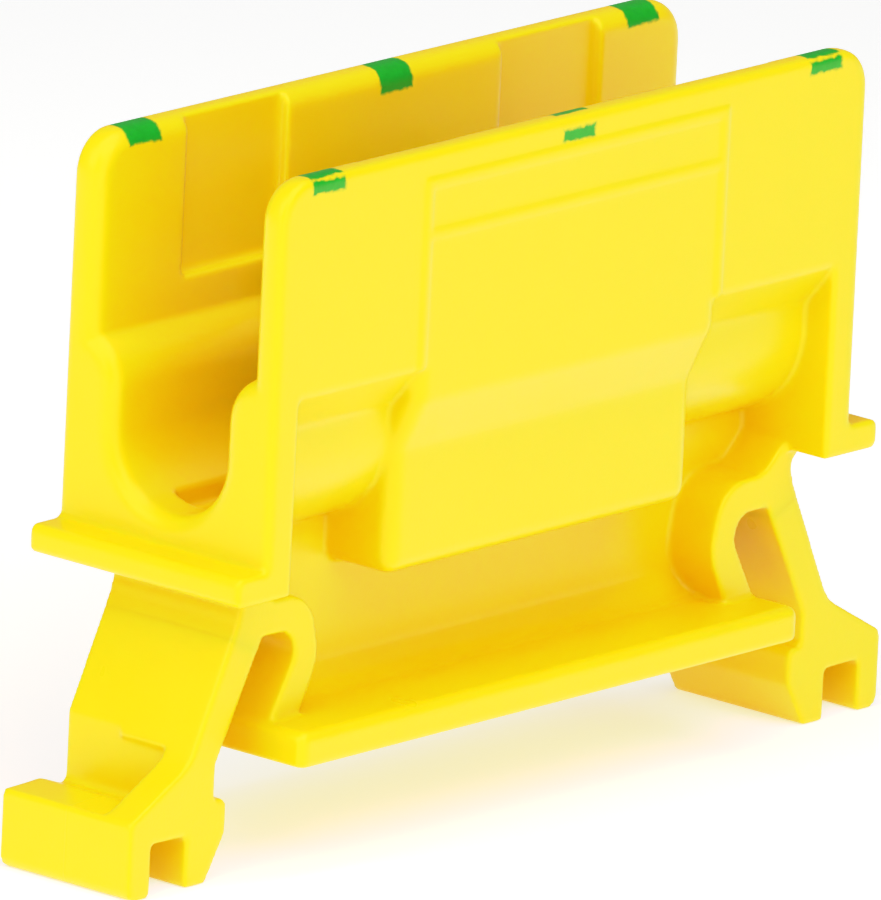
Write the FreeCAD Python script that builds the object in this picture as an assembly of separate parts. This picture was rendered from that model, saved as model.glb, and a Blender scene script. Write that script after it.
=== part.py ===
import FreeCAD, Part
import math
import os

from FreeCAD import Vector

# Terminal block that clips on a 35 mm top-hat rail. Millimetres.
# X runs across the rail, Y along it, Z up. The origin is on the rail's top face,
# under the middle of the block. Both ends and both feet are mirror images in X.

# --- driving dimensions ---------------------------------------------------
RAIL_WIDTH = 35.0
RAIL_BRIM = 1.0
BLOCK_WIDTH = 11.0
BODY_LENGTH = 35.0
WALL_TOP = 24.1

# channel between the two side walls
WALL = 1.4
WALL_CORNER = 1.7
INNER_LIP_ROUND = 0.75
OUTER_LIP_ROUND = 0.3
SHOULDER = 16.1
RECESS_DEPTH = 0.45
RECESS_FLOOR = 17.6
RECESS_NEAR = 6.4
RECESS_FAR = 12.3

# wire trough, end plate and ledge
WIRE_AXIS = 12.45
GROOVE_RADIUS = 2.85
TROUGH_WALL = 1.2
FLARE_RADIUS = 2.0
RIM_ROUND = 0.7
KEYWAY_HALF = 1.45
KEYWAY_FLOOR = 9.15
KEYWAY_START = 15.3
END_PLATE = 1.5
LEDGE_REACH = 1.65
LEDGE_TOP = 8.45
LEDGE_BOTTOM = 7.25

# middle block that holds the metal parts
BLOCK_HALF = 9.0
BLOCK_BOTTOM = 6.55
BLOCK_FOOT_HALF = 4.4
CHAMBER_HALF_LENGTH = 8.0
CHAMBER_HALF_WIDTH = 3.3
CHAMBER_FLOOR = 7.8
DIVIDER_HALF = 1.5

# raised frame round the marking panel
FRAME_RISE = 0.08
FRAME_LINE = 0.3
FRAME_TOP = 22.9
FRAME_DIVIDER = 20.8

# web and base plate
WEB = 2.1
BASE_HALF = 14.9
BASE_THICK = 1.45
WEB_FILLET = 1.3

# spring feet
FOOT_HALF_WIDTH = 3.4
LEG_PIVOT_X = 15.7
LEG_PIVOT_Z = 5.75
LEG_END_RADIUS = 0.85
PIVOT_CLEARANCE = 0.04
FOOT_END = 22.45
FOOT_BOTTOM = -4.5
RAIL_GAP_HALF = RAIL_WIDTH / 2 + 0.1
NOSE_TOP = -(RAIL_BRIM + 0.17)
GUSSET_WIDTH = 1.5
POCKET_WALL_X = 18.78

# metal parts
BAR_HALF_LENGTH = 7.7
BAR_HALF_WIDTH = 1.9
BAR_BOTTOM = 13.6
BAR_THICK = 1.1
CLAMP_X = 5.0
CAGE_LENGTH = 5.0
CAGE_HALF_WIDTH = 2.9
CAGE_STRIP = 0.7
CAGE_BOTTOM = 9.1
CAGE_TOP_INSIDE = 15.3
CAGE_NUT = 1.7
CLAMP_TRAVEL = 2.0
SCREW_RADIUS = 1.25
SCREW_CLEARANCE = 0.05
HEAD_RADIUS = 2.4
HEAD_HEIGHT = 1.6
SLOT_WIDTH = 0.6
SLOT_DEPTH = 0.8

# --- sizes that follow from them ------------------------------------------
HALF_WIDTH = BLOCK_WIDTH / 2
HALF_LENGTH = BODY_LENGTH / 2
WALL_INSIDE = HALF_WIDTH - WALL
TROUGH_RADIUS = GROOVE_RADIUS + TROUGH_WALL
TROUGH_SLANT_TOP = 15.3
TROUGH_SLANT_FOOT = 13.5
END_PLATE_INSIDE = HALF_LENGTH - END_PLATE
LEDGE_END = HALF_LENGTH + LEDGE_REACH
BAR_TOP = BAR_BOTTOM + BAR_THICK
CAGE_TOP = CAGE_TOP_INSIDE + CAGE_NUT
HEAD_BOTTOM = CAGE_TOP + CLAMP_TRAVEL + 0.2
SCREW_TIP = BAR_TOP + 0.03


def box(x, y, z):
    """A block between the low and high value of each axis."""
    return Part.makeBox(
        x[1] - x[0], y[1] - y[0], z[1] - z[0], Vector(x[0], y[0], z[0])
    )


def rounded_outline(corners, place):
    """A closed wire through the corners, each (u, v) or (u, v, radius)."""
    count = len(corners)
    arcs = []
    for i, corner in enumerate(corners):
        here = Vector(corner[0], corner[1], 0)
        radius = corner[2] if len(corner) > 2 else 0
        before = Vector(*corners[i - 1][:2], 0) - here
        after = Vector(*corners[(i + 1) % count][:2], 0) - here
        before.normalize()
        after.normalize()
        if radius == 0:
            arcs.append((here, here, here))
            continue
        half_angle = before.getAngle(after) / 2
        reach = radius / math.tan(half_angle)
        middle = before + after
        middle.normalize()
        depth = radius / math.sin(half_angle) - radius
        arcs.append((here + before * reach, here + middle * depth, here + after * reach))
    edges = []
    for i, (start, middle, end) in enumerate(arcs):
        if start != end:
            points = [place(p.x, p.y) for p in (start, middle, end)]
            edges.append(Part.Arc(*points).toShape())
        onward = arcs[(i + 1) % count][0]
        if (onward - end).Length > 1e-6:
            edges.append(Part.LineSegment(place(end.x, end.y), place(onward.x, onward.y)).toShape())
    return Part.Wire(edges)


def along_y(corners, low, high):
    """The XZ outline made solid from y = low to y = high."""
    wire = rounded_outline(corners, lambda u, v: Vector(u, low, v))
    return Part.Face(wire).extrude(Vector(0, high - low, 0))


def along_x(corners, low, high):
    """The YZ outline made solid from x = low to x = high."""
    wire = rounded_outline(corners, lambda u, v: Vector(low, u, v))
    return Part.Face(wire).extrude(Vector(high - low, 0, 0))


def other_side_x(shape):
    return shape.mirror(Vector(0, 0, 0), Vector(1, 0, 0))


def other_side_y(shape):
    return shape.mirror(Vector(0, 0, 0), Vector(0, 1, 0))


def round_edges(shape, radius, wanted):
    """Round the edges whose bounding box passes the test."""
    edges = [e for e in shape.Edges if wanted(e.BoundBox)]
    return shape.makeFillet(radius, edges)


def at(value, target):
    return abs(value - target) < 1e-3


def lies_at(low, high, target):
    return at(low, target) and at(high, target)


# --- housing ----------------------------------------------------------------
def back_wall():
    """Side wall at +Y, with its rounded top corners and lips."""
    wall = along_y(
        [
            (-HALF_LENGTH, TROUGH_SLANT_TOP),
            (-HALF_LENGTH, WALL_TOP, WALL_CORNER),
            (HALF_LENGTH, WALL_TOP, WALL_CORNER),
            (HALF_LENGTH, TROUGH_SLANT_TOP),
        ],
        WALL_INSIDE,
        HALF_WIDTH,
    )

    def lip(face):
        def test(b):
            return lies_at(b.YMin, b.YMax, face) and not at(b.ZMax, TROUGH_SLANT_TOP)
        return test

    wall = round_edges(wall, INNER_LIP_ROUND, lip(WALL_INSIDE))
    wall = round_edges(wall, OUTER_LIP_ROUND, lip(HALF_WIDTH))
    for low, high in ((-RECESS_FAR, -RECESS_NEAR), (RECESS_NEAR, RECESS_FAR)):
        recess = box(
            (low, high), (WALL_INSIDE - 1, WALL_INSIDE + RECESS_DEPTH), (RECESS_FLOOR, WALL_TOP + 1)
        )
        wall = wall.cut(recess)
    return wall


def notch_line(edge, top):
    """YZ outline open to the wire groove: flare, upright sides, half-round floor."""
    floor = WIRE_AXIS - GROOVE_RADIUS
    half = [
        (edge, top),
        (edge, SHOULDER),
        (GROOVE_RADIUS, SHOULDER, FLARE_RADIUS),
        (GROOVE_RADIUS, floor, GROOVE_RADIUS),
    ]
    return half + [(-c[0],) + c[1:] for c in reversed(half)]


def groove_cutter(low, high):
    """The wire groove and the channel above it, between the side walls."""
    top = WALL_TOP + 1
    groove = along_x(notch_line(HALF_WIDTH, top), low, high)
    return groove.common(box((low, high), (-WALL_INSIDE, WALL_INSIDE), (0, top)))


def sharp_corner(z_low, z_high):
    """What a rounded upright corner leaves out, at +X and +Y."""
    inset = OUTER_LIP_ROUND
    corner = box((HALF_LENGTH - inset, HALF_LENGTH), (HALF_WIDTH - inset, HALF_WIDTH), (z_low, z_high))
    centre = Vector(HALF_LENGTH - inset, HALF_WIDTH - inset, z_low)
    return corner.cut(Part.makeCylinder(inset, z_high - z_low, centre))


def end_plate():
    """Upright plate at +X with the wire notch, its rounded rim, and the ledge at its foot."""
    plate = along_x(notch_line(HALF_WIDTH, LEDGE_BOTTOM), END_PLATE_INSIDE, HALF_LENGTH)

    def rim(b):
        on_side = lies_at(b.YMin, b.YMax, HALF_WIDTH) or lies_at(b.YMin, b.YMax, -HALF_WIDTH)
        return lies_at(b.XMin, b.XMax, HALF_LENGTH) and b.ZMin > LEDGE_TOP and not on_side

    plate = round_edges(plate, RIM_ROUND, rim)
    cheek = box((END_PLATE_INSIDE, HALF_LENGTH), (WALL_INSIDE + 0.8, HALF_WIDTH), (SHOULDER - 1.5, SHOULDER))
    plate = plate.fuse([cheek, other_side_y(cheek)])
    corner = sharp_corner(LEDGE_TOP, SHOULDER)
    plate = plate.cut([corner, other_side_y(corner)])
    ledge = along_y(
        [
            (END_PLATE_INSIDE, LEDGE_BOTTOM),
            (LEDGE_END, LEDGE_BOTTOM, 0.35),
            (LEDGE_END, LEDGE_TOP, 0.35),
            (END_PLATE_INSIDE, LEDGE_TOP),
        ],
        -HALF_WIDTH,
        HALF_WIDTH,
    )
    return plate.fuse(ledge)


def trough():
    """Round-bottomed shell between the middle block and the end plate at +X."""
    outline = [
        (HALF_WIDTH, SHOULDER + 0.5),
        (HALF_WIDTH, TROUGH_SLANT_TOP, 0.6),
        (TROUGH_RADIUS, TROUGH_SLANT_FOOT, 0.8),
        (TROUGH_RADIUS, WIRE_AXIS - TROUGH_RADIUS, TROUGH_RADIUS),
        (-TROUGH_RADIUS, WIRE_AXIS - TROUGH_RADIUS, TROUGH_RADIUS),
        (-TROUGH_RADIUS, TROUGH_SLANT_FOOT, 0.8),
        (-HALF_WIDTH, TROUGH_SLANT_TOP, 0.6),
        (-HALF_WIDTH, SHOULDER + 0.5),
    ]
    return along_x(outline, BLOCK_HALF - 1, END_PLATE_INSIDE + 0.1)


def middle_block():
    """Deep block under the channel; its lower half steps in from the side walls."""
    outline = [
        (HALF_WIDTH, SHOULDER + 0.5),
        (HALF_WIDTH, 13.9, 0.8),
        (BLOCK_FOOT_HALF, 11.6, 1.0),
        (BLOCK_FOOT_HALF, BLOCK_BOTTOM),
    ]
    outline += [(-c[0],) + c[1:] for c in reversed(outline)]
    block = along_x(outline, -BLOCK_HALF, BLOCK_HALF)

    def lower_edge(b):
        on_end = lies_at(b.XMin, b.XMax, BLOCK_HALF) or lies_at(b.XMin, b.XMax, -BLOCK_HALF)
        return (on_end and b.ZMax < SHOULDER) or lies_at(b.ZMin, b.ZMax, BLOCK_BOTTOM)

    return round_edges(block, 0.7, lower_edge)


def arch_contour():
    """The arch's convex side, from the base plate up to the end plate's foot, at +X."""
    return [
        (12.85, BASE_THICK - 0.2),
        (11.7, 3.6, 2.2),
        (12.35, 6.35, 1.7),
        (14.8, 6.45, 1.2),
        (15.9, LEDGE_BOTTOM + 0.3),
    ]


def web():
    """Thin upright plate from the base plate to the troughs, filleted at its root."""
    half = WEB / 2
    outline = [
        (half + WEB_FILLET + 0.4, BASE_THICK - 0.3),
        (half + WEB_FILLET + 0.4, BASE_THICK),
        (half, BASE_THICK, WEB_FILLET),
        (half, WIRE_AXIS - TROUGH_RADIUS + 0.3),
    ]
    outline += [(-c[0],) + c[1:] for c in reversed(outline)]
    plate = along_x(outline, -END_PLATE_INSIDE - 0.1, END_PLATE_INSIDE + 0.1)
    beyond = [(END_PLATE_INSIDE + 1, LEDGE_BOTTOM + 0.3), (END_PLATE_INSIDE + 1, BASE_THICK - 1)]
    arch_space = along_y(arch_contour() + beyond, -HALF_WIDTH, HALF_WIDTH)
    return plate.cut([arch_space, other_side_x(arch_space)])


def base_plate():
    """Flat plate that rests on the rail."""
    plate = box((-BASE_HALF, BASE_HALF), (-HALF_WIDTH, HALF_WIDTH), (0, BASE_THICK))

    def top_edge(b):
        return lies_at(b.ZMin, b.ZMax, BASE_THICK) or (b.ZMin < 0.1 and b.ZMax > 1)

    plate = round_edges(plate, 0.4, top_edge)

    def under_edge(b):
        return lies_at(b.ZMin, b.ZMax, 0)

    return round_edges(plate, 0.2, under_edge)


def panel_frame():
    """Raised lines round the marking panel on the front wall."""
    face = (-HALF_WIDTH - FRAME_RISE, -HALF_WIDTH + 0.2)
    inner = BLOCK_HALF - FRAME_LINE
    lines = [
        box((-BLOCK_HALF, BLOCK_HALF), face, (FRAME_TOP - FRAME_LINE, FRAME_TOP)),
        box((-BLOCK_HALF, BLOCK_HALF), face, (FRAME_DIVIDER - FRAME_LINE, FRAME_DIVIDER)),
        box((-BLOCK_HALF, -inner), face, (15.2, FRAME_TOP)),
        box((inner, BLOCK_HALF), face, (15.2, FRAME_TOP)),
    ]
    return lines


def chamber_cutters():
    """Two pits for the clamps, each side of a divider that the bar rests on."""
    pits = []
    for low, high in ((-CHAMBER_HALF_LENGTH, -DIVIDER_HALF), (DIVIDER_HALF, CHAMBER_HALF_LENGTH)):
        pits.append(
            box((low, high), (-CHAMBER_HALF_WIDTH, CHAMBER_HALF_WIDTH), (CHAMBER_FLOOR, SHOULDER + 0.1))
        )
    seat = box(
        (-DIVIDER_HALF - 0.1, DIVIDER_HALF + 0.1),
        (-BAR_HALF_WIDTH - 0.1, BAR_HALF_WIDTH + 0.1),
        (BAR_BOTTOM, SHOULDER + 5),
    )
    return pits + [seat]


def bar_catches():
    """Two small lips above the bar's edges keep it in its seat."""
    catch = along_y(
        [(-1.0, BAR_TOP + 0.05), (1.0, BAR_TOP + 0.05), (1.0, SHOULDER - 0.2), (-1.0, SHOULDER - 0.2)],
        BAR_HALF_WIDTH - 0.35,
        BAR_HALF_WIDTH + 0.6,
    )
    return [catch, other_side_y(catch)]


def housing():
    wall = back_wall()
    end = end_plate()
    shell = middle_block()
    shell = shell.fuse([wall, other_side_y(wall), end, other_side_x(end), trough(), other_side_x(trough())])
    shell = shell.fuse([web(), base_plate()])
    floor = groove_cutter(-END_PLATE_INSIDE - 0.2, END_PLATE_INSIDE + 0.2)
    inside = box((-DIVIDER_HALF, DIVIDER_HALF), (-9, 9), (0, SHOULDER - 0.1))
    shell = shell.cut(floor.cut(inside))
    keyway = box((-KEYWAY_START, KEYWAY_START), (-KEYWAY_HALF, KEYWAY_HALF), (KEYWAY_FLOOR, WIRE_AXIS))
    shell = shell.cut(keyway.cut(inside))
    shell = shell.cut(chamber_cutters())
    shell = shell.fuse(bar_catches())
    shell = shell.fuse(panel_frame())
    return shell.removeSplitter()


# --- spring feet, drawn at +X ------------------------------------------------
def flex_arch(body):
    """Curved strip from the base plate up and over to the end plate's foot."""
    strip = along_y(
        arch_contour()
        + [
            (16.95, LEDGE_BOTTOM + 0.3),
            (16.95, LEDGE_BOTTOM - 0.05),
            (16.48, 6.65, 0.4),
            (16.45, 6.3),
            (LEG_PIVOT_X, LEG_PIVOT_Z),
            (15.0, 5.02, 0.2),
            (13.2, 5.02, 0.95),
            (13.2, 3.85, 0.6),
            (14.62, BASE_THICK - 0.2),
        ],
        -FOOT_HALF_WIDTH,
        FOOT_HALF_WIDTH,
    )
    socket = Part.makeCylinder(
        LEG_END_RADIUS + PIVOT_CLEARANCE,
        2 * FOOT_HALF_WIDTH + 2,
        Vector(LEG_PIVOT_X, -FOOT_HALF_WIDTH - 1, LEG_PIVOT_Z),
        Vector(0, 1, 0),
    )
    return strip.cut(socket).cut(body)


def spring_foot():
    """Outer leg with its round upper end, the rail nose and the slotted toe."""
    leg = along_y(
        [
            (16.467, 6.117),
            (19.11, 0.53, 2.0),
            (FOOT_END, -1.32, 0.35),
            (FOOT_END, FOOT_BOTTOM, 0.5),
            (21.2, FOOT_BOTTOM, 0.2),
            (21.2, -2.35, 0.1),
            (19.15, -2.4, 0.1),
            (19.15, FOOT_BOTTOM, 0.2),
            (17.95, FOOT_BOTTOM, 0.3),
            (16.85, -2.6, 0.8),
            (16.85, NOSE_TOP, 0.4),
            (RAIL_GAP_HALF, NOSE_TOP, 0.1),
            (RAIL_GAP_HALF, 0.24, 0.8),
            (14.947, 5.356),
        ],
        -FOOT_HALF_WIDTH,
        FOOT_HALF_WIDTH,
    )
    end = Part.makeCylinder(
        LEG_END_RADIUS,
        2 * FOOT_HALF_WIDTH,
        Vector(LEG_PIVOT_X, -FOOT_HALF_WIDTH, LEG_PIVOT_Z),
        Vector(0, 1, 0),
    )
    foot = leg.fuse(end)
    pocket = along_y(
        [
            (POCKET_WALL_X, 3.0),
            (POCKET_WALL_X, -1.75, 0.3),
            (20.4, -1.2),
            (FOOT_END + 1, -1.35),
            (FOOT_END + 1, 3.0),
        ],
        -FOOT_HALF_WIDTH + GUSSET_WIDTH,
        FOOT_HALF_WIDTH + 1,
    )
    slab = along_y(
        [(17.5, 3.888), (18.93, 0.9), (18.3, 0.9), (17.5, 2.6)],
        -FOOT_HALF_WIDTH + GUSSET_WIDTH - 0.1,
        0.5,
    )
    return foot.cut(pocket.cut(slab)).removeSplitter()


# --- metal parts -------------------------------------------------------------
def current_bar():
    """Flat tinned copper bar that joins the two clamps."""
    bar = box(
        (-BAR_HALF_LENGTH, BAR_HALF_LENGTH), (-BAR_HALF_WIDTH, BAR_HALF_WIDTH), (BAR_BOTTOM, BAR_TOP)
    )

    def upright(b):
        return b.ZMax - b.ZMin > 0.5

    return round_edges(bar, 0.5, upright)


def clamp_cage():
    """Steel loop round the bar at +X; its thick top is threaded for the screw."""
    length = (CLAMP_X - CAGE_LENGTH / 2, CLAMP_X + CAGE_LENGTH / 2)
    outside = [
        (CAGE_HALF_WIDTH, CAGE_BOTTOM, 0.6),
        (CAGE_HALF_WIDTH, CAGE_TOP, 0.6),
        (-CAGE_HALF_WIDTH, CAGE_TOP, 0.6),
        (-CAGE_HALF_WIDTH, CAGE_BOTTOM, 0.6),
    ]
    inner = CAGE_HALF_WIDTH - CAGE_STRIP
    inside = [
        (inner, CAGE_BOTTOM + CAGE_STRIP, 0.3),
        (inner, CAGE_TOP_INSIDE, 0.2),
        (-inner, CAGE_TOP_INSIDE, 0.2),
        (-inner, CAGE_BOTTOM + CAGE_STRIP, 0.3),
    ]
    cage = along_x(outside, *length).cut(along_x(inside, *length))
    hole = Part.makeCylinder(
        SCREW_RADIUS + SCREW_CLEARANCE, 10, Vector(CLAMP_X, 0, CAGE_TOP_INSIDE - 1)
    )
    return cage.cut(hole)


def clamp_screw():
    """Slotted cheese-head screw at +X; its tip bears on the bar."""
    head = Part.makeCylinder(HEAD_RADIUS, HEAD_HEIGHT, Vector(CLAMP_X, 0, HEAD_BOTTOM))

    def top_rim(b):
        return lies_at(b.ZMin, b.ZMax, HEAD_BOTTOM + HEAD_HEIGHT)

    head = round_edges(head, 0.3, top_rim)
    shank = Part.makeCylinder(SCREW_RADIUS, HEAD_BOTTOM - SCREW_TIP + 0.1, Vector(CLAMP_X, 0, SCREW_TIP))

    def tip_rim(b):
        return lies_at(b.ZMin, b.ZMax, SCREW_TIP)

    shank = shank.makeChamfer(0.3, [e for e in shank.Edges if tip_rim(e.BoundBox)])
    slot_top = HEAD_BOTTOM + HEAD_HEIGHT
    slot = box(
        (CLAMP_X - 3, CLAMP_X + 3), (-SLOT_WIDTH / 2, SLOT_WIDTH / 2), (slot_top - SLOT_DEPTH, slot_top + 1)
    )
    return head.fuse(shank).cut(slot).removeSplitter()


def save(name, shape):
    os.makedirs("parts", exist_ok=True)
    solids = shape.Solids
    solid = solids[0] if len(solids) == 1 else shape
    b = solid.BoundBox
    print(
        f"{name:20s} solids {len(solids)} valid {shape.isValid()} volume {shape.Volume:9.2f} "
        f"X {b.XMin:.2f}..{b.XMax:.2f} Y {b.YMin:.2f}..{b.YMax:.2f} Z {b.ZMin:.2f}..{b.ZMax:.2f}"
    )
    solid.exportStep(f"parts/{name}.step")


body = housing()
arch = flex_arch(body)
foot = spring_foot()
cage = clamp_cage()
screw = clamp_screw()
save("housing", body)
save("current_bar", current_bar())
for side, place in (("right", lambda shape: shape), ("left", other_side_x)):
    save(f"flex_arch_{side}", place(arch))
    save(f"spring_foot_{side}", place(foot))
    save(f"clamp_cage_{side}", place(cage))
    save(f"clamp_screw_{side}", place(screw))
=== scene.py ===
import math

import bpy
from mathutils import Matrix, Vector


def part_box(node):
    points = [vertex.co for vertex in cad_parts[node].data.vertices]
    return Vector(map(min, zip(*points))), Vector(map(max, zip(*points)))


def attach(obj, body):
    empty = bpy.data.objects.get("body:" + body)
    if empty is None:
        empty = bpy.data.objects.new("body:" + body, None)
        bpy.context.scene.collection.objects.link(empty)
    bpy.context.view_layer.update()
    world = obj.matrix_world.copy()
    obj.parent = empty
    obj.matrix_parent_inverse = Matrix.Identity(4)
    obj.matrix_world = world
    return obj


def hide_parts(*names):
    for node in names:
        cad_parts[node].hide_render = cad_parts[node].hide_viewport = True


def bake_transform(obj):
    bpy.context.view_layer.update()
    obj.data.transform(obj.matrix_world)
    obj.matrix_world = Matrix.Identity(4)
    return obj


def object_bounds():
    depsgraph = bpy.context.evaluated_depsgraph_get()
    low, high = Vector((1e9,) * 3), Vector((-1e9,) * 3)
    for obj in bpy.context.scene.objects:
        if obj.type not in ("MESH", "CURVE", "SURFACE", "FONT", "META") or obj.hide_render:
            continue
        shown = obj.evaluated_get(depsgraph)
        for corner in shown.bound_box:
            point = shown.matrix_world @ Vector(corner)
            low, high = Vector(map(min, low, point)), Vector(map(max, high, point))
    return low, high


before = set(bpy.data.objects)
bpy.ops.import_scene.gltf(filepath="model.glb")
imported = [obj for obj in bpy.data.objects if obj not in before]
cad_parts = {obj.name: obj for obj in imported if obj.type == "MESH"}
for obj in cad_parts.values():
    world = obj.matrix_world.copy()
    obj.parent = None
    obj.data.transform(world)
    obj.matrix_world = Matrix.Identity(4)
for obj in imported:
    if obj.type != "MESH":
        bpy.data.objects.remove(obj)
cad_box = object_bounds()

# --- Camera ---
# A long lens a good metre off, at the block's front left corner and a little above it.
CAMERA_AIM = Vector((0.00130, 0.00205, 0.00862))
CAMERA_DISTANCE = 1.3192
CAMERA_LENS = 1334.0
CAMERA_AZIMUTH = math.radians(-49.34)
CAMERA_ELEVATION = math.radians(15.10)
CAMERA_ROLL = math.radians(2.72)

camera_back = Vector((
    math.sin(CAMERA_AZIMUTH) * math.cos(CAMERA_ELEVATION),
    -math.cos(CAMERA_AZIMUTH) * math.cos(CAMERA_ELEVATION),
    math.sin(CAMERA_ELEVATION),
))
level_right = Vector((math.cos(CAMERA_AZIMUTH), math.sin(CAMERA_AZIMUTH), 0))
camera_right = Matrix.Rotation(CAMERA_ROLL, 3, camera_back) @ level_right
camera_up = camera_back.cross(camera_right)
bpy.ops.object.camera_add()
camera = bpy.context.object
camera.data.lens = CAMERA_LENS
camera.data.clip_end = 10
camera.matrix_world = Matrix.Translation(CAMERA_AIM + CAMERA_DISTANCE * camera_back) @ Matrix(
    (camera_right, camera_up, camera_back)
).transposed().to_4x4()
bpy.context.scene.camera = camera

# --- Floor ---
# A sheet of matt white board under the block and far beyond it, so that it also is the background.
FLOOR_SIZE = 30.0
MM = 0.001


def linear(hex_colour):
    """Linear RGBA of an sRGB hex colour."""
    channels = [int(hex_colour[i:i + 2], 16) / 255 for i in (1, 3, 5)]
    return [c / 12.92 if c <= 0.04045 else ((c + 0.055) / 1.055) ** 2.4 for c in channels] + [1.0]


def add_node(tree, kind, values={}, links={}, **settings):
    """Add a node: settings on the node, values in its sockets, links from (node, output)."""
    node = tree.nodes.new(kind)
    for name, value in settings.items():
        setattr(node, name, value)
    for socket, value in values.items():
        node.inputs[socket].default_value = value
    for socket, (source, output) in links.items():
        tree.links.new(source.outputs[output], node.inputs[socket])
    return node


def new_material(name):
    """A material with an empty node tree."""
    material = bpy.data.materials.new(name)
    material.use_nodes = True
    material.node_tree.nodes.clear()
    return material, material.node_tree


board, tree = new_material("matt_white_board")
surface = add_node(
    tree, "ShaderNodeBsdfPrincipled",
    values={"Base Color": linear("#FCFCFB"), "Roughness": 0.9, "Specular IOR Level": 0.1,
            "Emission Color": linear("#FFFFFF"), "Emission Strength": 0.42},
)
add_node(tree, "ShaderNodeOutputMaterial", links={"Surface": (surface, "BSDF")})

bpy.ops.mesh.primitive_plane_add(size=FLOOR_SIZE, location=(0, 0, cad_box[0].z))
floor = bpy.context.object
floor.name = "floor"
floor.data.materials.append(board)

# --- Light ---
# A white room: one wide soft box above the block, one at its left and one in front, and even light
# from all round. A tone curve lifts the middle tones and eases the brightest ones towards white.
ROOM_STRENGTH = 0.20
EASED_TONES = [(0.1, 0.15), (0.25, 0.35), (0.4, 0.55), (0.5, 0.69), (0.61, 0.80), (0.75, 0.88), (0.92, 0.935)]
EASED_WHITE = 1.5

look = bpy.context.scene.view_settings
look.view_transform = "Standard"
look.use_curve_mapping = True
tones = look.curve_mapping
tones.white_level = (EASED_WHITE,) * 3
for dark, light in EASED_TONES:
    tones.curves[3].points.new(dark, light)
tones.update()

world = bpy.data.worlds.new("white_room")
bpy.context.scene.world = world
world.use_nodes = True
room_light = world.node_tree.nodes["Background"]
room_light.inputs["Color"].default_value = linear("#FFFFFF")
room_light.inputs["Strength"].default_value = ROOM_STRENGTH

SOFT_BOXES = {
    # name: (azimuth, elevation, distance in m, size in m, watts)
    "soft_box_top": (-20, 66, 0.40, 0.45, 1.90),
    "soft_box_left": (-95, 32, 0.45, 0.40, 1.50),
    "soft_box_front": (-20, 20, 0.50, 0.45, 1.15),
}
for name, (azimuth, elevation, distance, size, power) in SOFT_BOXES.items():
    a, e = math.radians(azimuth), math.radians(elevation)
    toward = Vector((math.sin(a) * math.cos(e), -math.cos(a) * math.cos(e), math.sin(e)))
    bpy.ops.object.light_add(type="AREA", location=CAMERA_AIM + toward * distance)
    soft_box = bpy.context.object
    soft_box.name = name
    soft_box.data.size = size
    soft_box.data.energy = power
    soft_box.rotation_mode = "QUATERNION"
    soft_box.rotation_quaternion = toward.to_track_quat("Z", "Y")

# --- Housing ---
# Injection moulded in yellow polyamide: side walls, troughs, middle block, web and base plate in
# one shot. The mould leaves every edge a little round. Nothing is fixed to it; the rest drops in.
SAME_PLACE = 1e-6
SKIN_CELL = 0.12
SKIN_SMOOTHING = 4
SKIN_KEEP = 0.3
PIVOT_X = 15.7
PIVOT_Z = 5.75
PIVOT_FILL = 0.93
ROUND_SIDES = 48


def select_only(*objects):
    bpy.ops.object.select_all(action="DESELECT")
    for item in objects:
        item.select_set(True)
    bpy.context.view_layer.objects.active = objects[0]


def scale_mesh(factor):
    """Scale the active object's mesh about the origin."""
    bpy.ops.object.mode_set(mode="EDIT")
    bpy.ops.mesh.select_all(action="SELECT")
    bpy.ops.transform.resize(value=(factor,) * 3, center_override=(0, 0, 0))
    bpy.ops.object.mode_set(mode="OBJECT")


def apply_modifier(piece, kind, **settings):
    modifier = piece.modifiers.new(kind.lower(), kind)
    for name, value in settings.items():
        setattr(modifier, name, value)
    bpy.ops.object.modifier_apply(modifier=modifier.name)


def soft_moulding(name, nodes, fillers):
    """One closed skin round copies of the CAD nodes and the fillers, with softened edges."""
    copies = []
    for node in nodes:
        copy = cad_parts[node].copy()
        copy.data = copy.data.copy()
        copy.parent = None
        copy.matrix_world = Matrix.Identity(4)
        bpy.context.collection.objects.link(copy)
        copies.append(copy)
    select_only(*copies, *fillers)
    bpy.ops.object.join()
    piece = bpy.context.object
    piece.name = name
    bpy.ops.object.mode_set(mode="EDIT")
    bpy.ops.mesh.select_all(action="SELECT")
    bpy.ops.mesh.remove_doubles(threshold=SAME_PLACE)
    bpy.ops.object.mode_set(mode="OBJECT")
    scale_mesh(1 / MM)
    apply_modifier(piece, "REMESH", mode="VOXEL", voxel_size=SKIN_CELL)
    apply_modifier(piece, "SMOOTH", factor=0.5, iterations=SKIN_SMOOTHING)
    apply_modifier(piece, "DECIMATE", ratio=SKIN_KEEP)
    scale_mesh(MM)
    bpy.ops.object.shade_smooth()
    piece.data.materials.clear()
    return piece


# Polyamide straight from the mould: satin, slightly waxy, with light sinking a little way in. The
# mould's spark-eroded face leaves a fine grain, and its halves meet in a fine ridge down the toes.
# Three earth marks are pad printed in green across the top of each wall. The pad lifts off a strip
# along the front wall's outer lip, widest at the middle mark.
GRAIN_MM = 0.12
PARTING_HALF = 0.07
PARTING_FROM = 19.6
PARTING_HEIGHT = 1.6
RAGGED_SCALE = 3.2
RAGGED_REACH = 0.28
PATCH_SCALE = 0.35
MARK_PITCH = 14.85
MARK_HALF = 0.96
MARK_FOOT = 23.1
MARK_FOOT_RISE = 0.022
BARE_AT_MIDDLE = 0.42
BARE_NARROWING = -0.023
INK_FADE = 0.07
WALL_LIP = (0, -5.42, 24.02)
# The Mix node's colour sockets, by number because its other kinds of socket share their names.
COLOUR_A, COLOUR_B, MIXED_COLOUR = 6, 7, 2

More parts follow.
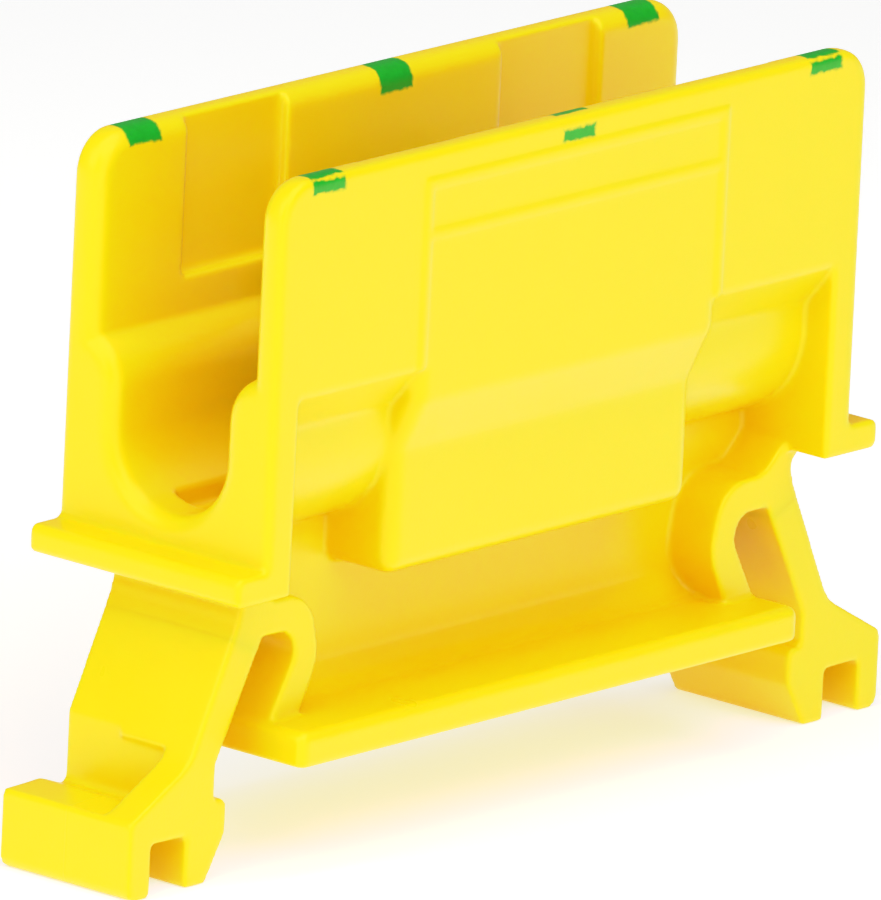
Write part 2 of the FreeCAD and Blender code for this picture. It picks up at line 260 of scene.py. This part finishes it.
polyamide, tree = new_material("moulded_yellow_polyamide")
place = add_node(tree, "ShaderNodeTexCoord")
in_mm = add_node(
    tree, "ShaderNodeMapping", values={"Scale": (1 / MM,) * 3}, links={"Vector": (place, "Object")}
)
ragged = add_node(
    tree, "ShaderNodeTexNoise",
    values={"Scale": RAGGED_SCALE, "Detail": 3.0}, links={"Vector": (in_mm, "Vector")},
)
centred = add_node(
    tree, "ShaderNodeVectorMath", operation="SUBTRACT",
    values={1: (0.5, 0.5, 0.5)}, links={0: (ragged, "Color")},
)
edge_shift = add_node(
    tree, "ShaderNodeVectorMath", operation="SCALE",
    values={"Scale": RAGGED_REACH}, links={0: (centred, "Vector")},
)
ink_place = add_node(
    tree, "ShaderNodeVectorMath", operation="ADD",
    links={0: (in_mm, "Vector"), 1: (edge_shift, "Vector")},
)
axes = add_node(tree, "ShaderNodeSeparateXYZ", links={"Vector": (ink_place, "Vector")})
from_centre = add_node(
    tree, "ShaderNodeMath", operation="WRAP",
    values={1: -MARK_PITCH / 2, 2: MARK_PITCH / 2}, links={0: (axes, "X")},
)
to_centre = add_node(tree, "ShaderNodeMath", operation="ABSOLUTE", links={0: (from_centre, "Value")})
inside_width = add_node(
    tree, "ShaderNodeMath", operation="SUBTRACT", values={0: MARK_HALF}, links={1: (to_centre, "Value")}
)
to_end = add_node(tree, "ShaderNodeMath", operation="ABSOLUTE", links={0: (axes, "X")})
foot_line = add_node(
    tree, "ShaderNodeMath", operation="MULTIPLY_ADD",
    values={1: MARK_FOOT_RISE, 2: MARK_FOOT}, links={0: (to_end, "Value")},
)
above_foot = add_node(
    tree, "ShaderNodeMath", operation="SUBTRACT", links={0: (axes, "Z"), 1: (foot_line, "Value")}
)
inside_print = add_node(
    tree, "ShaderNodeMath", operation="MINIMUM",
    links={0: (inside_width, "Value"), 1: (above_foot, "Value")},
)
across_lip = add_node(
    tree, "ShaderNodeVectorMath", operation="MULTIPLY",
    values={1: (0, 1, 1)}, links={0: (ink_place, "Vector")},
)
lip_distance = add_node(
    tree, "ShaderNodeVectorMath", operation="DISTANCE",
    values={1: WALL_LIP}, links={0: (across_lip, "Vector")},
)
bare_width = add_node(
    tree, "ShaderNodeMath", operation="MULTIPLY_ADD",
    values={1: BARE_NARROWING, 2: BARE_AT_MIDDLE}, links={0: (to_end, "Value")},
)
clear_of_lip = add_node(
    tree, "ShaderNodeMath", operation="SUBTRACT",
    links={0: (lip_distance, "Value"), 1: (bare_width, "Value")},
)
ink_edge = add_node(
    tree, "ShaderNodeMath", operation="MINIMUM",
    links={0: (inside_print, "Value"), 1: (clear_of_lip, "Value")},
)
ink = add_node(
    tree, "ShaderNodeMapRange", values={"From Min": -INK_FADE, "From Max": INK_FADE},
    links={"Value": (ink_edge, "Value")},
)
patches = add_node(
    tree, "ShaderNodeTexNoise",
    values={"Scale": PATCH_SCALE, "Detail": 2.0}, links={"Vector": (in_mm, "Vector")},
)
plastic_colour = add_node(
    tree, "ShaderNodeMix", data_type="RGBA",
    values={COLOUR_A: linear("#F0C704"), COLOUR_B: linear("#F2CA07")}, links={0: (patches, "Fac")},
)
thin_ink = add_node(
    tree, "ShaderNodeMix", data_type="RGBA",
    values={COLOUR_A: linear("#048F1C"), COLOUR_B: linear("#0CA424")}, links={0: (ragged, "Fac")},
)
colour = add_node(
    tree, "ShaderNodeMix", data_type="RGBA",
    links={
        0: (ink, "Result"),
        COLOUR_A: (plastic_colour, MIXED_COLOUR), COLOUR_B: (thin_ink, MIXED_COLOUR),
    },
)
sheen = add_node(
    tree, "ShaderNodeMapRange",
    values={"To Min": 0.24, "To Max": 0.38}, links={"Value": (patches, "Fac")},
)
grain = add_node(
    tree, "ShaderNodeTexNoise",
    values={"Scale": 1 / GRAIN_MM, "Detail": 2.0}, links={"Vector": (in_mm, "Vector")},
)
parting = add_node(tree, "ShaderNodeSeparateXYZ", links={"Vector": (in_mm, "Vector")})
from_middle = add_node(tree, "ShaderNodeMath", operation="ABSOLUTE", links={0: (parting, "Y")})
parting_ridge = add_node(
    tree, "ShaderNodeMapRange",
    values={"From Max": PARTING_HALF, "To Min": PARTING_HEIGHT, "To Max": 0},
    links={"Value": (from_middle, "Value")},
)
on_outside = add_node(tree, "ShaderNodeMath", operation="ABSOLUTE", links={0: (parting, "X")})
on_toe = add_node(
    tree, "ShaderNodeMath", operation="GREATER_THAN",
    values={1: PARTING_FROM}, links={0: (on_outside, "Value")},
)
moulded_face = add_node(
    tree, "ShaderNodeMath", operation="MULTIPLY_ADD",
    links={0: (parting_ridge, "Result"), 1: (on_toe, "Value"), 2: (grain, "Fac")},
)
relief = add_node(
    tree, "ShaderNodeBump",
    values={"Strength": 0.25, "Distance": 0.02 * MM}, links={"Height": (moulded_face, "Value")},
)
surface = add_node(
    tree, "ShaderNodeBsdfPrincipled",
    values={
        "IOR": 1.53, "Specular IOR Level": 0.4, "Specular Tint": linear("#FFF68C"),
        "Subsurface Weight": 0.4, "Subsurface Radius": (1.0, 0.5, 0.05), "Subsurface Scale": 0.7 * MM,
    },
    links={
        "Base Color": (colour, MIXED_COLOUR),
        "Roughness": (sheen, "Result"), "Normal": (relief, "Normal"),
    },
)
add_node(tree, "ShaderNodeOutputMaterial", links={"Surface": (surface, "BSDF")})

shot = ["housing"]
fillers = []
for side, sign in (("left", -1), ("right", 1)):
    shot += ["flex_arch_" + side, "spring_foot_" + side]
    low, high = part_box("flex_arch_" + side)
    bpy.ops.object.select_all(action="DESELECT")
    bpy.ops.mesh.primitive_cylinder_add(
        vertices=ROUND_SIDES, radius=PIVOT_FILL * MM, depth=high.y - low.y,
        location=(sign * PIVOT_X * MM, 0, PIVOT_Z * MM), rotation=(math.pi / 2, 0, 0),
    )
    bpy.ops.object.transform_apply(location=True, rotation=True, scale=True)
    fillers.append(bpy.context.object)
housing = soft_moulding("moulded_housing", shot, fillers)
housing.data.materials.append(polyamide)

# --- Spring feet ---
# The same shot of plastic goes on as an arch, a slanted leg, a nose that hooks under the rail and
# a slotted toe for a screwdriver. The leg bends just below the arch when the block is taken off.
LEG_TOP_X, LEG_TOP_Z = 16.467, 6.117
LEG_FOOT_X, LEG_FOOT_Z = 19.11, 0.53
LEG_SLANT = math.atan2(LEG_FOOT_X - LEG_TOP_X, LEG_TOP_Z - LEG_FOOT_Z)
NECK_TOP = 1.0
ARCH_GAP_X = 15.15
ON_PLANE = 1e-8
JUST_ABOVE_CUT = -1e-7
PLACE_DIGITS = 8


def place_key(vertex):
    """A vertex's place to a few nanometres, to find it again after the mesh is parted."""
    return tuple(round(c, PLACE_DIGITS) for c in vertex.co)


for side, sign in (("left", -1), ("right", 1)):
    pivot = Vector((sign * PIVOT_X, 0, PIVOT_Z)) * MM
    down_leg = Vector((sign * math.sin(LEG_SLANT), 0, -math.cos(LEG_SLANT)))

    def below_cut(point):
        """How far down the leg a point lies below the cut, in metres."""
        return (point - pivot).dot(down_leg) - NECK_TOP * MM

    def select_faces(wanted):
        """In edit mode, select only this side's leg faces for which wanted(corners) is true."""
        bpy.ops.object.mode_set(mode="OBJECT")
        vertices = housing.data.vertices
        for face in housing.data.polygons:
            corners = [vertices[i].co for i in face.vertices]
            on_leg = max(sign * corner.x for corner in corners) > ARCH_GAP_X * MM
            face.select = on_leg and wanted(corners)
        bpy.ops.object.mode_set(mode="EDIT")

    select_only(housing)
    bpy.ops.object.mode_set(mode="EDIT")
    bpy.ops.mesh.select_mode(type="FACE")
    bpy.ops.mesh.select_all(action="DESELECT")
    select_faces(lambda corners: min(map(below_cut, corners)) < 0 < max(map(below_cut, corners)))
    bpy.ops.mesh.bisect(
        plane_co=pivot + NECK_TOP * MM * down_leg, plane_no=down_leg, threshold=ON_PLANE
    )
    bpy.ops.object.mode_set(mode="OBJECT")
    whole_normals = {place_key(v): v.normal.copy() for v in housing.data.vertices}
    bpy.ops.object.mode_set(mode="EDIT")
    bpy.ops.mesh.select_all(action="DESELECT")
    select_faces(lambda corners: min(map(below_cut, corners)) > JUST_ABOVE_CUT)
    bpy.ops.mesh.separate(type="SELECTED")
    bpy.ops.object.mode_set(mode="OBJECT")
    foot = next(item for item in bpy.context.selected_objects if item != housing)
    foot.name = "sprung_foot_" + side
    for piece in (housing, foot):
        select_only(piece)
        bpy.ops.object.mode_set(mode="EDIT")
        bpy.ops.mesh.select_mode(type="EDGE")
        bpy.ops.mesh.select_all(action="DESELECT")
        bpy.ops.mesh.select_non_manifold()
        bpy.ops.mesh.edge_face_add()
        bpy.ops.object.mode_set(mode="OBJECT")
        normals = [whole_normals[place_key(v)] for v in piece.data.vertices]
        piece.data.normals_split_custom_set_from_vertices(normals)
    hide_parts("spring_foot_" + side)
    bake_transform(foot)

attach(housing, "housing_body")
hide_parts("housing", "flex_arch_left", "flex_arch_right")

# --- Current bar ---
# A strip of copper, cropped to length and tin plated. It drops into a seat in the middle of the
# housing, and two small lips hold it down. Its underside is scored across to bite on the wire.
BAR_CORNER = 0.5
BAR_EDGE = 0.08
SCORE_PITCH = 0.55
SCORE_DEPTH = 0.07
SCORED_FROM = 2.6
SCORE_STEPS = 12
SCORE_SIDE = 0.25
SCORE_MIDDLE = 0.1


def select_edges(piece, wanted):
    """In edit mode, select only the edges for which wanted(start, end) is true."""
    bpy.ops.mesh.select_mode(type="EDGE")
    bpy.ops.mesh.select_all(action="DESELECT")
    bpy.ops.object.mode_set(mode="OBJECT")
    vertices = piece.data.vertices
    for edge in piece.data.edges:
        edge.select = wanted(*(vertices[i].co for i in edge.vertices))
    bpy.ops.object.mode_set(mode="EDIT")


def add_block(name, low, high):
    """A rectangular block between two corners, as the active object, with its place in its mesh."""
    bpy.ops.object.select_all(action="DESELECT")
    bpy.ops.mesh.primitive_cube_add(size=1, location=(low + high) / 2, scale=high - low)
    bpy.ops.object.transform_apply(location=True, rotation=True, scale=True)
    bpy.context.object.name = name
    return bpy.context.object


def is_upright(start, end):
    return abs(start.z - end.z) > SAME_PLACE


low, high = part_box("current_bar")
bar = add_block("tinned_bar", low, high)
bpy.ops.object.mode_set(mode="EDIT")
for step in range(-SCORE_STEPS, SCORE_STEPS + 1):
    if abs(step) * SCORE_PITCH > SCORED_FROM:
        for offset in (-SCORE_SIDE, 0, SCORE_SIDE):
            bpy.ops.mesh.select_all(action="SELECT")
            cut = (step + offset) * SCORE_PITCH * MM
            bpy.ops.mesh.bisect(plane_co=(cut, 0, 0), plane_no=(1, 0, 0))
select_edges(bar, lambda a, b: is_upright(a, b) and abs(a.x) > high.x - SAME_PLACE)
bpy.ops.mesh.bevel(offset=BAR_CORNER * MM, segments=5, affect="EDGES")
bpy.ops.object.mode_set(mode="OBJECT")
for vertex in bar.data.vertices:
    step = abs(vertex.co.x) / MM / SCORE_PITCH
    scored = SCORED_FROM / SCORE_PITCH < step < SCORE_STEPS + 0.5
    if vertex.co.z < low.z + SAME_PLACE and scored and abs(step - round(step)) < SCORE_MIDDLE:
        vertex.co.z += SCORE_DEPTH * MM
apply_modifier(bar, "BEVEL", width=BAR_EDGE * MM, segments=2, limit_method="ANGLE")
bpy.ops.object.shade_smooth_by_angle(angle=math.radians(40))


GLOSS_DRIFT = 0.1


def plated_metal(name, colour, dull_colour, roughness, blotch_mm, grain_mm):
    """A plated metal: colour and gloss drift over blotches, and a fine grain breaks the shine."""
    material, tree = new_material(name)
    place = add_node(tree, "ShaderNodeTexCoord")
    in_mm = add_node(
        tree, "ShaderNodeMapping", values={"Scale": (1 / MM,) * 3}, links={"Vector": (place, "Object")}
    )
    blotches = add_node(
        tree, "ShaderNodeTexNoise",
        values={"Scale": 1 / blotch_mm, "Detail": 3.0}, links={"Vector": (in_mm, "Vector")},
    )
    plating = add_node(
        tree, "ShaderNodeMix", data_type="RGBA",
        values={COLOUR_A: linear(colour), COLOUR_B: linear(dull_colour)}, links={0: (blotches, "Fac")},
    )
    gloss = add_node(
        tree, "ShaderNodeMapRange",
        values={"To Min": roughness - GLOSS_DRIFT, "To Max": roughness + GLOSS_DRIFT},
        links={"Value": (blotches, "Fac")},
    )
    grain = add_node(
        tree, "ShaderNodeTexNoise",
        values={"Scale": 1 / grain_mm, "Detail": 2.0}, links={"Vector": (in_mm, "Vector")},
    )
    relief = add_node(
        tree, "ShaderNodeBump",
        values={"Strength": 0.3, "Distance": 0.01 * MM}, links={"Height": (grain, "Fac")},
    )
    surface = add_node(
        tree, "ShaderNodeBsdfPrincipled", values={"Metallic": 1.0},
        links={
            "Base Color": (plating, MIXED_COLOUR),
            "Roughness": (gloss, "Result"), "Normal": (relief, "Normal"),
        },
    )
    add_node(tree, "ShaderNodeOutputMaterial", links={"Surface": (surface, "BSDF")})
    return material


# Tin from a barrel bath: pale and soft looking, greyer where the deposit is thin.
tinned_copper = plated_metal("barrel_tinned_copper", "#E2DFD8", "#C9C3B8", 0.32, 1.2, 0.05)
bar.data.materials.append(tinned_copper)
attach(bar, "housing_body")
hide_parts("current_bar")

# --- Clamp cages ---
# Steel strip folded into a loop round the bar, with its ends lapped on top, tapped together for
# the screw, and zinc plated. It lifts as the screw turns and presses the wire up against the bar.
CAGE_STRIP = 0.7
CAGE_TOP_INSIDE = 15.3
CAGE_BEND = 0.55
CAGE_EDGE = 0.07
LAP_GAP = 0.06
LAP_DEPTH = 0.25
TAPPED_RADIUS = 1.3
TAPPED_DEPTH = 4.0
WINDOW_CORNER = 0.25
WINDOW_PAST_ENDS = 0.5

zinc_plate = plated_metal("bright_zinc_plated_steel", "#C8CBD0", "#A9ADB4", 0.30, 0.9, 0.06)


def cut_away(piece, cutter):
    """Cut the cutter's shape out of the piece, then delete the cutter."""
    select_only(piece)
    apply_modifier(piece, "BOOLEAN", operation="DIFFERENCE", solver="EXACT", object=cutter)
    bpy.data.objects.remove(cutter)


def runs_along_x(start, end):
    return abs(start.x - end.x) > SAME_PLACE


for side in ("left", "right"):
    low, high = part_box("clamp_cage_" + side)
    middle = (low + high) / 2
    cage = add_block("folded_cage_" + side, low, high)
    bpy.ops.object.mode_set(mode="EDIT")
    select_edges(cage, runs_along_x)
    bpy.ops.mesh.bevel(offset=CAGE_BEND * MM, segments=6, affect="EDGES")
    bpy.ops.object.mode_set(mode="OBJECT")

    clear = Vector((WINDOW_PAST_ENDS, 0, 0)) * MM
    wall = Vector((0, CAGE_STRIP, CAGE_STRIP)) * MM
    ceiling = Vector((high.x, high.y, CAGE_TOP_INSIDE * MM + CAGE_STRIP * MM))
    window = add_block("window", low + wall - clear, ceiling - wall + clear)
    bpy.ops.object.mode_set(mode="EDIT")
    select_edges(window, runs_along_x)
    bpy.ops.mesh.bevel(offset=WINDOW_CORNER * MM, segments=3, affect="EDGES")
    bpy.ops.object.mode_set(mode="OBJECT")
    cut_away(cage, window)

    lap_z = (CAGE_TOP_INSIDE * MM + high.z) / 2
    for end_x in (low.x, high.x):
        lap = add_block(
            "lap",
            Vector((end_x - LAP_DEPTH * MM, low.y + wall.y, lap_z)),
            Vector((end_x + LAP_DEPTH * MM, high.y + MM, lap_z + LAP_GAP * MM)),
        )
        cut_away(cage, lap)
    lap = add_block(
        "lap",
        Vector((low.x - MM, high.y - LAP_DEPTH * MM, lap_z)),
        Vector((high.x + MM, high.y + MM, lap_z + LAP_GAP * MM)),
    )
    cut_away(cage, lap)

    bpy.ops.object.select_all(action="DESELECT")
    bpy.ops.mesh.primitive_cylinder_add(
        vertices=ROUND_SIDES, radius=TAPPED_RADIUS * MM, depth=TAPPED_DEPTH * MM,
        location=(middle.x, 0, high.z),
    )
    bpy.ops.object.transform_apply(location=True, rotation=True, scale=True)
    cut_away(cage, bpy.context.object)
    apply_modifier(
        cage, "BEVEL", width=CAGE_EDGE * MM, segments=2, limit_method="ANGLE",
        angle_limit=math.radians(50),
    )
    bpy.ops.object.shade_smooth_by_angle(angle=math.radians(40))
    cage.data.materials.append(zinc_plate)
    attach(cage, side + "_cage")
    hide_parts("clamp_cage_" + side)

# --- Clamp screws ---
# Slotted cheese-head screws, cold headed, with a rolled thread and zinc plated. Each one goes
# through its cage's tapped top, and its chamfered tip stands on the bar.
THREAD_PITCH = 0.5
THREAD_DEPTH = 0.24
THREAD_RINGS = 8
HEAD_HEIGHT = 1.6
SLOT_WIDTH = 0.6
SLOT_DEPTH = 0.8
HEAD_EDGE = 0.22
SHANK_RADIUS = 1.25
TIP_CHAMFER = 0.3
HEAD_SIDES = 64
SHANK_SIDES = 32
SLOT_EDGE = 0.05
FACES_UP = 0.9

screw_zinc = plated_metal("clear_zinc_plated_screw_steel", "#D0D2D6", "#B4B7BC", 0.26, 0.7, 0.05)

for side in ("left", "right"):
    low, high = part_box("clamp_screw_" + side)
    middle = (low + high) / 2
    head_radius = (high.x - low.x) / 2
    head_low = high.z - HEAD_HEIGHT * MM

    bpy.ops.object.select_all(action="DESELECT")
    bpy.ops.mesh.primitive_cylinder_add(
        vertices=HEAD_SIDES, radius=head_radius, depth=HEAD_HEIGHT * MM,
        location=(middle.x, 0, head_low + HEAD_HEIGHT / 2 * MM),
    )
    bpy.ops.object.transform_apply(location=True, rotation=True, scale=True)
    head = bpy.context.object
    head.name = "cheese_head_screw_" + side
    bpy.ops.object.mode_set(mode="EDIT")
    select_edges(head, lambda a, b: min(a.z, b.z) > high.z - SAME_PLACE)
    bpy.ops.mesh.bevel(offset=HEAD_EDGE * MM, segments=4, affect="EDGES")
    bpy.ops.object.mode_set(mode="OBJECT")
    reach = Vector((head_radius + MM, SLOT_WIDTH / 2 * MM, 0))
    slot_floor = Vector((middle.x, 0, high.z - SLOT_DEPTH * MM))
    slot_top = Vector((middle.x, 0, high.z + MM))
    cut_away(head, add_block("slot", slot_floor - reach, slot_top + reach))
    apply_modifier(
        head, "BEVEL", width=SLOT_EDGE * MM, segments=2, limit_method="ANGLE",
        angle_limit=math.radians(50),
    )

    ring_step = THREAD_PITCH / THREAD_RINGS * MM
    rings = int((head_low - low.z) / ring_step) + 2
    bpy.ops.object.select_all(action="DESELECT")
    bpy.ops.mesh.primitive_cylinder_add(
        vertices=SHANK_SIDES, radius=SHANK_RADIUS * MM, depth=ring_step,
        location=(middle.x, 0, low.z + ring_step / 2),
    )
    bpy.ops.object.transform_apply(location=True, rotation=True, scale=True)
    shank = bpy.context.object
    bpy.ops.object.mode_set(mode="EDIT")
    bpy.ops.mesh.select_mode(type="FACE")
    bpy.ops.mesh.select_all(action="DESELECT")
    bpy.ops.object.mode_set(mode="OBJECT")
    for face in shank.data.polygons:
        face.select = face.normal.z > FACES_UP
    bpy.ops.object.mode_set(mode="EDIT")
    for _ in range(rings):
        bpy.ops.mesh.extrude_region_move(TRANSFORM_OT_translate={"value": (0, 0, ring_step)})
    bpy.ops.object.mode_set(mode="OBJECT")
    for vertex in shank.data.vertices:
        arm = vertex.co - middle
        turn = math.atan2(arm.y, arm.x) / math.tau
        phase = (vertex.co.z / MM / THREAD_PITCH - turn) % 1
        radius = SHANK_RADIUS - THREAD_DEPTH * (1 - abs(2 * phase - 1))
        above_tip = (vertex.co.z - low.z) / MM
        radius = min(radius, SHANK_RADIUS - TIP_CHAMFER + above_tip)
        vertex.co.x = middle.x + radius * MM * math.cos(turn * math.tau)
        vertex.co.y = radius * MM * math.sin(turn * math.tau)
    select_only(head, shank)
    bpy.ops.object.join()
    screw = bpy.context.object
    bpy.ops.object.shade_smooth_by_angle(angle=math.radians(35))
    screw.data.materials.append(screw_zinc)
    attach(screw, side + "_screw")
    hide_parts("clamp_screw_" + side)
